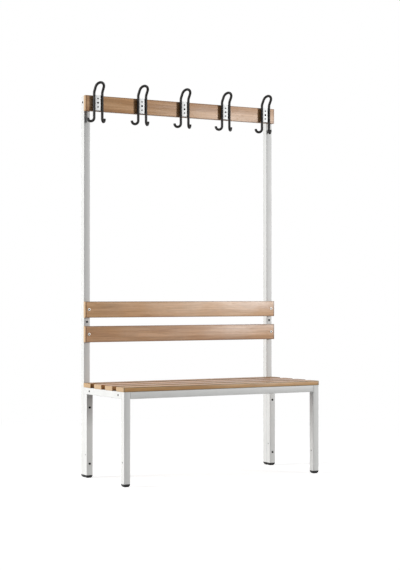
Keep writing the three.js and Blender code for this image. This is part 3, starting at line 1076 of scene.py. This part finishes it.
@dataclass
class SteelFrame:
    """Legs, posts and rails of square tube, with sizes in millimetres.

    Attributes:
        finishes: the bench's finishes.
        hole_radius, hole_rise: the radius of the legs' cross holes, and their height above the
            tube's lower end.
        bolt_gap: the clearance round the bolts.
        driver_radius: the radius of the holes for a screwdriver in the posts' backs.
        rail_ease: the break on the long rails' ends.
        ring_radius, ring_rise, ring_ease: the radius and height of the raised rings round the
            posts' bolts, and the break on their edges.
    """

    finishes: Finishes
    hole_radius: float = 3.0
    hole_rise: float = 91.0
    bolt_gap: float = 0.3
    driver_radius: float = 6.0
    rail_ease: float = 0.8
    ring_radius: float = 8.5
    ring_rise: float = 0.8
    ring_ease: float = 0.3

    def dress(self, tube: SquareTube) -> Object:
        """Builds a tube and paints it."""
        obj = install(tube.build(), self.finishes.paint, "frame_paint", tube.node)
        # The bore finish paints the shade inside the tube.
        obj.data.materials.append(self.finishes.bore)
        return obj

    def cross_hole(self, node: str) -> Hole:
        """The hole through a leg along X, a hand's width above the floor."""
        low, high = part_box(node)
        middle = middle_of(node)
        centre = (middle.x, middle.y, low.z + self.hole_rise * MM)
        return Hole(Axis.X, centre, self.hole_radius * MM, 2 * (high.x - low.x))

    def bolt_hole(self, bolt: str, shank: float, axis: Axis, depth: float, length: float) -> Hole:
        """The hole for a bolt that another node has.

        Args:
            bolt: the bolt's node, which gives the hole's place across its axis.
            shank: the bolt's shank radius, in millimetres.
            axis: the hole's axis.
            depth: where the wall or tube that it passes lies along the axis.
            length: how long the hole is.

        Returns:
            The hole.
        """
        place = middle_of(bolt)
        place[axis.value] = depth
        return Hole(axis, tuple(place), (shank + self.bolt_gap) * MM, length)

    def build(self) -> None:
        """Builds every tube."""
        for side in Side:
            self.build_legs(side)
            self.build_post(side)
            self.build_end_rail(side)
        for node in ("front_rail", "rear_rail"):
            self.dress(SquareTube(node, Axis.X, ease=self.rail_ease))

    def build_legs(self, side: Side) -> None:
        """Builds the two legs of one end."""
        front, rear = f"front_leg_{side.word}", f"rear_leg_{side.word}"
        self.dress(SquareTube(front, Axis.Z, holes=[self.cross_hole(front)]))
        low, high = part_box(rear)
        depth, through = middle_of(rear).y, 2 * (high.y - low.y)
        holes = [self.cross_hole(rear)]
        for row in ("lower", "upper"):
            bolt = f"leg_bolt_{row}_{side.word}"
            holes.append(self.bolt_hole(bolt, LEG_BOLT.shank, Axis.Y, depth, through))
        self.dress(SquareTube(rear, Axis.Z, holes=holes))

    def build_post(self, side: Side) -> None:
        """Builds one post, with the holes for its screws and bolts."""
        node = f"post_{side.word}"
        low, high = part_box(node)
        width = high.x - low.x
        front, wall = high.y - width, width / 2
        outer = high.x if side.sign > 0 else low.x
        passing = (
            ("leg_bolt", LEG_BOLT.shank, front),
            ("back_screw", BACK_SCREW.shank, front),
            ("board_screw", BOARD_SCREW.shank, front),
            ("board_screw", self.driver_radius, high.y),
        )
        holes = [
            self.bolt_hole(f"{word}_{row}_{side.word}", radius, Axis.Y, depth, wall)
            for row in ("lower", "upper")
            for word, radius, depth in passing
        ]
        bolt, plug = f"post_bolt_{side.word}", f"side_plug_{side.word}"
        holes.append(self.bolt_hole(bolt, POST_BOLT.shank, Axis.Y, high.y - wall, 2 * width))
        holes.append(self.bolt_hole(plug, SIDE_PLUG.shank, Axis.X, outer, wall))
        self.dress(SquareTube(node, Axis.Z, holes=holes))
        self.build_ring(side, front)

    def build_ring(self, side: Side, face: float) -> None:
        """Builds the raised ring round the post's own bolt.

        Args:
            side: the post's end.
            face: where the post's front face lies.
        """
        middle = middle_of(f"post_bolt_{side.word}")
        outer, rise, edge = self.ring_radius * MM, self.ring_rise * MM, self.ring_ease * MM
        profile = [(outer, -edge), (outer, rise - edge), (outer - edge, rise), (outer / 2, rise)]
        shape = lathe(profile, RING_SIDES)
        place = Matrix.Translation((middle.x, face, middle.z))
        shape.transform(place @ turned(Facing.FRONT.value))
        obj = make_object(f"post_ring_{side.word}", shape)
        install(obj, self.finishes.paint, "frame_paint")

    def build_end_rail(self, side: Side) -> None:
        """Builds the rail under the slats' ends at one end."""
        node = f"end_rail_{side.word}"
        low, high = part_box(node)
        outer = high.x if side.sign > 0 else low.x
        holes = []
        for place in ("front", "rear"):
            bolt = f"rail_bolt_{place}_{side.word}"
            wall = (high.x - low.x) / 2
            holes.append(self.bolt_hole(bolt, RAIL_BOLT.shank, Axis.X, outer, wall))
        self.dress(SquareTube(node, Axis.Y, holes=holes))


# ---- Plastic feet and caps


@dataclass
class TubeEnds:
    """The black feet under the tubes and the grey caps on top of the posts, in millimetres.

    Attributes:
        finishes: the bench's finishes.
        height, flange, flange_ease: the feet's height, that of the flange under the tube, and
            the break on its lower edge.
        sole_width, sole_corner, sole_ease: the sole's width and corner radius at the floor, and
            the break on its edge.
        sole_bulge, sole_steps: how full the sole's curve is (less is fuller), and its bands.
        sole_lap: how far the sole reaches into the flange.
        insert_gap: how far the inserts lie inside the tube's outer faces.
        corner, fine_ease: the square parts' corner radius, and the break on edges at the tube.
        cap_flange, cap_ease: the height of the cap's flange, and the break on its upper edge.
        cap_insert_ease: the breaks on the cap's insert, below and above.
    """

    finishes: Finishes
    height: float = 12.5
    flange: float = 3.5
    flange_ease: float = 0.5
    sole_width: float = 19.0
    sole_corner: float = 3.0
    sole_bulge: float = 0.85
    sole_ease: float = 0.4
    sole_steps: int = 9
    sole_lap: float = 0.3
    insert_gap: float = 1.8
    corner: float = 2.0
    fine_ease: float = 0.2
    cap_flange: float = 2.0
    cap_ease: float = 0.7
    cap_insert_ease: tuple[float, float] = (0.5, 0.1)

    def build(self) -> None:
        """Builds six feet and two caps."""
        for side in Side:
            for place in ("front", "rear", "post"):
                self.build_foot(f"foot_{place}_{side.word}")
            self.build_cap(f"post_cap_{side.word}")

    @staticmethod
    def stack(sections: list[tuple[float, float, float]]) -> Shape:
        """A block whose level sections are squares with rounded corners.

        Args:
            sections: each section's width, corner radius and height, in metres, from the lowest.

        Returns:
            The shape, centred on the Z axis.
        """
        shape = bmesh.new()
        rings = []
        for size, corner, height in sections:
            outline = rounded_square(size, corner)
            rings.append([shape.verts.new((x, y, height)) for x, y in outline])
        close(shape, rings)
        return shape

    def square_block(
        self, width: float, bottom: float, top: float, ease_low: float, ease_high: float
    ) -> Shape:
        """A square block with rounded corners and eased edges.

        Args:
            width: its width, in metres.
            bottom: its lowest height.
            top: its highest height.
            ease_low: the ease of its lower edge.
            ease_high: the ease of its upper edge.

        Returns:
            The shape, centred on the Z axis.
        """
        levels = [(bottom + rise * ease_low, inset * ease_low) for rise, inset in EASE_SHARES]
        levels += [(top - rise * ease_high, inset * ease_high) for rise, inset in EASE_SHARES[::-1]]
        corner = self.corner * MM
        return self.stack([(width - 2 * inset, corner - inset, height) for height, inset in levels])

    def build_foot(self, node: str) -> None:
        """Builds one foot: a flange under the tube, and a square sole that curves in below."""
        low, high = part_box(node)
        width = high.x - low.x
        height, ease, fine = self.height * MM, self.flange_ease * MM, self.fine_ease * MM
        under = height - self.flange * MM
        shape = self.square_block(width, under, height, ease, fine)
        sole, corner, edge = self.sole_width * MM, self.sole_corner * MM, self.sole_ease * MM
        sections = [(sole - 2 * edge, corner - edge, 0.0)]
        for step in range(self.sole_steps + 1):
            share = step / self.sole_steps
            grown = math.sin(QUARTER * share) ** self.sole_bulge
            level = edge + (under + self.sole_lap * MM - edge) * share
            sections.append((sole + (width - 2 * fine - sole) * grown, corner, level))
        merge(shape, self.stack(sections))
        insert = width - 2 * self.insert_gap * MM
        merge(shape, self.square_block(insert, height, high.z, fine, ease))
        self.stand(node, shape, self.finishes.foot, "foot_plastic")

    def build_cap(self, node: str) -> None:
        """Builds one cap: a thin flange on the post's top, over an insert."""
        low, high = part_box(node)
        width = high.x - low.x
        seat = high.z - self.cap_flange * MM
        shape = self.square_block(width, seat, high.z, self.fine_ease * MM, self.cap_ease * MM)
        insert = width - 2 * self.insert_gap * MM
        below, above = (ease * MM for ease in self.cap_insert_ease)
        merge(shape, self.square_block(insert, low.z, seat, below, above))
        self.stand(node, shape, self.finishes.cap, "cap_plastic")

    @staticmethod
    def stand(node: str, shape: Shape, material: Material, slot: str) -> None:
        """Stands a shape in its node's place and dresses it.

        Args:
            node: the node.
            shape: the shape, about the Z axis.
            material: its finish.
            slot: the record's slot.
        """
        middle = middle_of(node)
        shape.transform(Matrix.Translation((middle.x, middle.y, 0.0)))
        install(make_object(f"{node}_piece", shape), material, slot, node)


# ---- Timber


@dataclass
class TimberBoards:
    """The four seat slats, two back slats and the hook board, each cut from its own board.

    Attributes:
        radius: the radius of their edges, in millimetres.
        edge_steps: the facets across each edge.
        tones: each board's own tone and painted edge shade, by its node.
    """

    radius: float = 1.6
    edge_steps: int = 5
    tones: dict[str, BoardTone] = field(
        default_factory=lambda: {
            "seat_slat_1": BoardTone((1.15, 1.05, 0.77), 0.60, (0.35, 0.53, 0.92)),
            "seat_slat_2": BoardTone((1.01, 0.93, 0.80), 0.65),
            "seat_slat_3": BoardTone((1.25, 1.09, 0.85)),
            "seat_slat_4": BoardTone((0.90, 0.86, 0.78), 0.12),
            "back_slat_lower": BoardTone((0.90, 0.92, 1.04), 0.85),
            "back_slat_upper": BoardTone((0.99, 1.02, 1.09)),
            "hook_board": BoardTone((0.96, 0.94, 0.92), 0.80, (0.52, 0.45, 0.38)),
        }
    )

    def build(self) -> None:
        """Builds every board."""
        for number, (node, tone) in enumerate(self.tones.items(), start=1):
            low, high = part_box(node)
            centre, half = (low + high) / 2, (high - low) / 2
            self.build_board(node, Timber(number, tone, tuple(centre), tuple(half)))

    def build_board(self, node: str, finish: Timber) -> None:
        """Builds one board with rounded edges and eased ends.

        Args:
            node: the node that it stands for.
            finish: its timber.
        """
        low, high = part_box(node)
        size = high - low
        shape = bmesh.new()
        bmesh.ops.create_cube(shape, size=1.0)
        shape.transform(Matrix.Translation((low + high) / 2) @ Matrix.Diagonal((*size, 1.0)))
        bmesh.ops.bevel(
            shape,
            geom=list(shape.edges),
            offset=self.radius * MM,
            segments=self.edge_steps,
            profile=0.5,
            affect="EDGES",
        )
        install(make_object(f"{node}_board", shape), finish.build(), "timber", node)


# ---- Hooks

BEND_STEP = math.radians(9)
ARCH_STEPS = 12
ROD_SIDES = 24
PLATE_CREASE = math.radians(40)


@dataclass
class WireHooks:
    """Bent-rod hooks on steel plates, with sizes in millimetres and angles in degrees.

    Attributes:
        finishes: the bench's finishes.
        count, diameter: how many hooks there are, and their rods' diameter.
        spacing, standoff: from one rod's axis to the other's, and from the board's face to them.
        prong_radius, prong_sweep: the radius of the prongs' bends, and how far they bend.
        prong_turn: how far they turn back towards the wall from straight outward.
        prong_drop, prong_tip: how far they reach below the board, and their straight tips.
        bend_rise, bend_radius: the bend under the loop: its height above the board's top, and
            its radius.
        loop_tilt, loop_reach: how far the loop leans forward, and its length above the bend.
        arch_height, tip_dome: the height of its arch, and how far the rod's ends dome out.
        plate_depth, plate_wall: from the board to the plate's face, and its thickness.
        plate_corner, plate_ease: the radius of its two long bends, and the break on its edges.
        rivet_pitch: from the plate's middle to a rivet.
    """

    finishes: Finishes
    count: int = 5
    diameter: float = 12.0
    spacing: float = 40.0
    standoff: float = 11.7
    prong_radius: float = 15.0
    prong_sweep: float = 174.0
    prong_turn: float = 44.0
    prong_drop: float = 51.8
    prong_tip: float = 3.0
    bend_rise: float = 9.0
    bend_radius: float = 16.0
    loop_tilt: float = 35.0
    loop_reach: float = 44.5
    arch_height: float = 24.0
    tip_dome: float = 1.2
    plate_depth: float = 11.0
    plate_wall: float = 2.5
    plate_corner: float = 0.8
    plate_ease: float = 0.25
    rivet_pitch: float = 18.5

    def arc(
        self, start: Vector, along: Vector, aside: Vector, radius: float, sweep_angle: float
    ) -> list[Station]:
        """Stations of a circular bend.

        Args:
            start: where it starts.
            along: the rod's direction there.
            aside: where it bends to.
            radius: the bend's radius, in metres.
            sweep_angle: how far it turns, in radians.

        Returns:
            Its stations, without the first.
        """
        steps = max(2, math.ceil(sweep_angle / BEND_STEP))
        centre = start + aside * radius
        stations = []
        for step in range(1, steps + 1):
            angle = sweep_angle * step / steps
            cosine, sine = math.cos(angle), math.sin(angle)
            point = centre - aside * (radius * cosine) + along * (radius * sine)
            stations.append(Station(point, along * cosine + aside * sine))
        return stations

    def half(self, side: Side, depth: float, top: float, bottom: float) -> list[Station]:
        """Half of a hook's rod, from the loop's crown to one prong's tip, about x = 0.

        Args:
            side: the side of the prong.
            depth: where the rods stand, along Y.
            top: the board's top.
            bottom: the board's underside.

        Returns:
            The stations.
        """
        reach = self.spacing * MM / 2
        tilt = math.radians(self.loop_tilt)
        radius = self.bend_radius * MM
        outward = Vector((side.sign, 0.0, 0.0))
        down = Vector((0.0, 0.0, -1.0))
        slope = Vector((0.0, math.sin(tilt), -math.cos(tilt)))
        square = Vector((0.0, -math.cos(tilt), -math.sin(tilt)))
        bend_depth = depth - radius * (1 - math.cos(tilt))
        bend_height = top + self.bend_rise * MM + radius * math.sin(tilt)
        bend_top = Vector((side.sign * reach, bend_depth, bend_height))
        arch = self.arch_height * MM
        middle = bend_top + slope * (arch - self.loop_reach * MM) - outward * reach
        stations = [Station(middle - slope * arch, outward)]
        for step in range(1, ARCH_STEPS + 1):
            angle = QUARTER * step / ARCH_STEPS
            cosine, sine = math.cos(angle), math.sin(angle)
            point = middle + outward * (reach * sine) - slope * (arch * cosine)
            heading = outward * (reach * cosine) + slope * (arch * sine)
            stations.append(Station(point, heading.normalized()))
        stations.append(Station(bend_top, slope))
        stations += self.arc(bend_top, slope, square, radius, tilt)
        foot = stations[-1].point.copy()
        foot.z = bottom + (self.diameter / 2 + self.prong_radius - self.prong_drop) * MM
        stations.append(Station(foot, down))
        turn = math.radians(self.prong_turn)
        aside = Vector((side.sign * math.cos(turn), math.sin(turn), 0.0))
        sweep_angle = math.radians(self.prong_sweep)
        stations += self.arc(foot, down, aside, self.prong_radius * MM, sweep_angle)
        last = stations[-1]
        straight = (self.prong_tip - self.tip_dome) * MM
        stations.append(Station(last.point + last.direction * straight, last.direction))
        return stations

    def build(self) -> None:
        """Builds every hook with its plate, its two rivets and its screw."""
        board_low, board_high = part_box("hook_board")
        depth = board_low.y - self.standoff * MM
        right = self.half(Side.RIGHT, depth, board_high.z, board_low.z)
        left = self.half(Side.LEFT, depth, board_high.z, board_low.z)[1:]
        stations = [Station(s.point, -s.direction) for s in reversed(left)] + right
        bolt, rivet = self.finishes.bolt, self.finishes.rivet
        screws = FastenerSet("hook_screw", HOOK_SCREW, bolt, "bolt_black")
        # The rivets' recesses take the black bolt finish as painted shade.
        rivets = FastenerSet("hook_rivet", HOOK_RIVET, rivet, "plate_steel", bolt)
        for number in range(1, self.count + 1):
            low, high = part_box(f"hook_rod_{number}")
            across = (low.x + high.x) / 2
            self.build_rod(number, stations, across)
            face = self.build_plate(number)
            for word, step in (("lower", -1), ("upper", 1)):
                point = (face.x, face.y, face.z + step * self.rivet_pitch * MM)
                rivets.put(f"hook_rivet_{number}_{word}", point, Facing.FRONT)
            screws.put_on_node(f"hook_screw_{number}", Facing.FRONT)

    def build_rod(self, number: int, stations: list[Station], across: float) -> None:
        """Builds one rod.

        Args:
            number: the hook's number.
            stations: the rod's centreline about x = 0.
            across: the hook's place along X.
        """
        shift = Vector((across, 0.0, 0.0))
        moved = [Station(s.point + shift, s.direction) for s in stations]
        shape = sweep(moved, self.diameter / 2 * MM, ROD_SIDES, self.tip_dome * MM)
        obj = make_object(f"hook_rod_{number}_piece", shape)
        install(obj, self.finishes.rod, "hook_black", f"hook_rod_{number}")

    def build_plate(self, number: int) -> Vector:
        """Builds one plate, a pressed channel that is open towards the board.

        Args:
            number: the hook's number.

        Returns:
            The middle of its face.
        """
        node = f"hook_plate_{number}"
        low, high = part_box(node)
        middle = (low + high) / 2
        half = (high.x - low.x) / 2
        front = high.y - self.plate_depth * MM
        corner, wall = self.plate_corner * MM, self.plate_wall * MM
        outline = [(middle.x + half - wall, high.y), (middle.x + half, high.y)]
        for turn, side in ((0, 1), (1, -1)):
            for step in range(CORNER_STEPS + 1):
                angle = QUARTER * (turn + step / CORNER_STEPS)
                x = middle.x + side * (half - corner) + corner * math.cos(angle)
                outline.append((x, front + corner - corner * math.sin(angle)))
        outline += [
            (middle.x - half, high.y),
            (middle.x - half + wall, high.y),
            (middle.x - half + wall, front + wall),
            (middle.x + half - wall, front + wall),
        ]
        shape = prism(outline, low.z, high.z)
        edges = [edge for edge in shape.edges if edge.calc_face_angle(0.0) > PLATE_CREASE]
        bmesh.ops.bevel(
            shape, geom=edges, offset=self.plate_ease * MM, segments=2, profile=0.5, affect="EDGES"
        )
        obj = make_object(f"{node}_piece", shape)
        install(obj, self.finishes.plate, "plate_steel", node)
        return Vector((middle.x, front, middle.z))


# ---- Screws and bolts


@dataclass
class FrameFasteners:
    """Every screw and bolt of the frame, the back slats and the seat.

    Attributes:
        finishes: the bench's finishes.
        seat_slats: how many slats the seat has.
        end_gap: the least way from a seat screw to the end of its rail, in millimetres.
    """

    finishes: Finishes
    seat_slats: int = 4
    end_gap: float = 8.0

    def build(self) -> None:
        """Places every fastener."""
        bolt, screw = self.finishes.bolt, self.finishes.screw
        # The back screws' recesses take the black bolt finish as painted shade.
        slat_screws = FastenerSet("back_screw", BACK_SCREW, screw, "screw_steel", bolt)
        leg_bolts = FastenerSet("leg_bolt", LEG_BOLT, bolt, "bolt_black")
        post_bolts = FastenerSet("post_bolt", POST_BOLT, bolt, "bolt_black")
        rail_bolts = FastenerSet("rail_bolt", RAIL_BOLT, bolt, "bolt_black")
        board_screws = FastenerSet("board_screw", BOARD_SCREW, screw, "screw_steel")
        plugs = FastenerSet("side_plug", SIDE_PLUG, self.finishes.plug, "foot_plastic")
        for side in Side:
            outward = Facing.LEFT if side is Side.LEFT else Facing.RIGHT
            for row in ("lower", "upper"):
                slat_screws.put_on_node(f"back_screw_{row}_{side.word}", Facing.FRONT)
                leg_bolts.put_on_node(f"leg_bolt_{row}_{side.word}", Facing.FRONT)
                board_screws.put_on_node(f"board_screw_{row}_{side.word}", Facing.BACK)
            for place in ("front", "rear"):
                rail_bolts.put_on_node(f"rail_bolt_{place}_{side.word}", outward)
            post_bolts.put_on_node(f"post_bolt_{side.word}", Facing.FRONT)
            plugs.put_on_node(f"side_plug_{side.word}", outward)
        self.build_seat_screws()

    def build_seat_screws(self) -> None:
        """Places the screws that hold the seat slats from below, through the end rails."""
        screws = FastenerSet("seat_screw", SEAT_SCREW, self.finishes.screw, "screw_steel")
        gap = self.end_gap * MM
        for side in Side:
            low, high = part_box(f"end_rail_{side.word}")
            for slat in range(1, self.seat_slats + 1):
                y = min(max(middle_of(f"seat_slat_{slat}").y, low.y + gap), high.y - gap)
                point = ((low.x + high.x) / 2, y, low.z)
                screws.put(f"seat_screw_{slat}_{side.word}", point, Facing.DOWN)


# ---- Studio


@dataclass(frozen=True)
class SoftBox:
    """A square or oblong lamp that looks at a point.

    Attributes:
        name: the lamp's name.
        place: where it stands, in metres.
        target: what it looks at.
        size: its width and height, in metres.
        power: its power, in watts.
    """

    name: str
    place: Point
    target: Point
    size: tuple[float, float]
    power: float

    def build(self) -> None:
        """Makes the lamp."""
        data = bpy.data.lights.new(self.name, "AREA")
        data.shape = "RECTANGLE"
        data.size, data.size_y = self.size
        data.energy = self.power
        obj = add_object(self.name, data)
        obj.location = self.place
        direction = Vector(self.target) - Vector(self.place)
        obj.rotation_euler = direction.to_track_quat("-Z", "Y").to_euler()


@dataclass
class Studio:
    """The floor, the white surroundings, the lamps and the photograph's camera.

    Attributes:
        camera_place: the camera's place, in metres.
        camera_turn, camera_rise: how far it looks to the right of +Y and up, in degrees.
        focal, frame_height: the focal length and the frame's height, in pixels.
        sensor, view_reach: the sensor's height in millimetres, and how far it sees in metres.
        fill: the strength of the surroundings as a light.
        floor_reach, floor_colour: half the floor's side in metres, and its colour.
        floor_lift: what is added to the floor's own light, as it is seen.
        fade_start, fade_end: from where to where the floor fades into white, in metres.
        lamps: the lamps.
    """

    camera_place: Point = (-3.2805, -5.6877, 0.8125)
    camera_turn: float = 29.937
    camera_rise: float = 0.410
    focal: float = 1449.8
    frame_height: float = 570.0
    sensor: float = 36.0
    fill: float = 0.17
    floor_reach: float = 40.0
    floor_lift: float = 0.70
    fade_start: float = 1.2
    fade_end: float = 3.0
    floor_colour: Colour = (0.65, 0.65, 0.65)
    view_reach: float = 200.0
    lamps: tuple[SoftBox, ...] = (
        SoftBox("key_right", (7.71, -9.19, 2.2), (0.0, 0.1, 0.9), (2.2, 3.7), 940.0),
        SoftBox("fill_left", (-8.5, 3.0, 1.5), (-0.3, 0.2, 0.9), (4.0, 3.0), 1008.0),
        SoftBox("rim_left", (-5.0, 1.6, 2.9), (-0.5, 0.2, 1.5), (1.2, 1.2), 54.0),
        SoftBox("top", (0.3, -0.6, 4.0), (0.0, 0.0, 0.4), (2.2, 2.2), 14.0),
    )

    def build(self) -> None:
        """Builds the whole studio."""
        self.build_floor()
        self.build_surroundings()
        for lamp in self.lamps:
            lamp.build()
        self.build_camera()

    @staticmethod
    def seen_by_camera(nodes: Nodes) -> Socket:
        """A value that is 1 for rays that show the background, and 0 for rays that carry light."""
        path = nodes.new("ShaderNodeLightPath").outputs
        seen = path["Is Camera Ray"]
        for name in ("Is Glossy Ray", "Is Transmission Ray"):
            seen = nodes.maths("MAXIMUM", seen, path[name])
        return seen

    def build_floor(self) -> None:
        """Lays a plain white floor that keeps the bench's shadow and fades into the background."""
        shape = bmesh.new()
        bmesh.ops.create_grid(shape, x_segments=1, y_segments=1, size=self.floor_reach)
        obj = make_object("floor", shape)
        material = bpy.data.materials.new("floor_white")
        material.use_nodes = True
        nodes = Nodes(material.node_tree)
        nodes.tree.nodes.clear()
        seen = self.seen_by_camera(nodes)
        lift = nodes.maths("MULTIPLY", seen, self.floor_lift)
        diffuse = nodes.wire(nodes.new("ShaderNodeBsdfDiffuse"), {"Color": self.floor_colour})
        near = nodes.wire(nodes.new("ShaderNodeEmission"), {"Strength": lift})
        far = nodes.wire(nodes.new("ShaderNodeEmission"), {"Strength": seen})
        both = nodes.new("ShaderNodeAddShader")
        nodes.wire(both, {0: diffuse.outputs["BSDF"], 1: near.outputs["Emission"]})
        distance = nodes.new("ShaderNodeVectorMath")
        distance.operation = "LENGTH"
        nodes.wire(distance, {0: nodes.new("ShaderNodeTexCoord").outputs["Object"]})
        fade = nodes.new("ShaderNodeMapRange")
        fade.interpolation_type = "SMOOTHSTEP"
        reach = {"From Min": self.fade_start, "From Max": self.fade_end}
        nodes.wire(fade, {"Value": distance.outputs["Value"], **reach})
        mixed = nodes.wire(nodes.new("ShaderNodeMixShader"), {"Fac": fade.outputs["Result"]})
        nodes.wire(mixed, {1: both.outputs["Shader"], 2: far.outputs["Emission"]})
        output = nodes.new("ShaderNodeOutputMaterial")
        nodes.wire(output, {"Surface": mixed.outputs["Shader"]})
        obj.data.materials.append(material)
        LOG.info("floor laid")

    def build_surroundings(self) -> None:
        """Makes the surroundings white to the eye and softer as a light."""
        world = bpy.data.worlds.new("surroundings")
        bpy.context.scene.world = world
        world.use_nodes = True
        nodes = Nodes(world.node_tree)
        level = nodes.new("ShaderNodeMapRange")
        nodes.wire(level, {"Value": self.seen_by_camera(nodes), "To Min": self.fill, "To Max": 1.0})
        background = nodes.tree.nodes["Background"]
        nodes.wire(background, {"Color": (1.0,) * 3, "Strength": level.outputs["Result"]})

    def build_camera(self) -> None:
        """Stands the camera where the photograph was taken from."""
        data = bpy.data.cameras.new("photo_camera")
        data.sensor_fit = "VERTICAL"
        data.sensor_height = self.sensor
        data.lens = self.focal * self.sensor / self.frame_height
        data.clip_end = self.view_reach
        obj = add_object("photo_camera", data)
        obj.location = self.camera_place
        rise, turn = math.radians(90 + self.camera_rise), math.radians(self.camera_turn)
        obj.rotation_euler = (rise, 0.0, -turn)
        bpy.context.scene.camera = obj


def main() -> None:
    """Builds and dresses the bench, then its studio."""
    bpy.context.scene.view_settings.view_transform = "Standard"
    finishes = Finishes()
    SteelFrame(finishes).build()
    TubeEnds(finishes).build()
    TimberBoards().build()
    WireHooks(finishes).build()
    FrameFasteners(finishes).build()
    Studio().build()


if __name__ == "__main__":
    main()
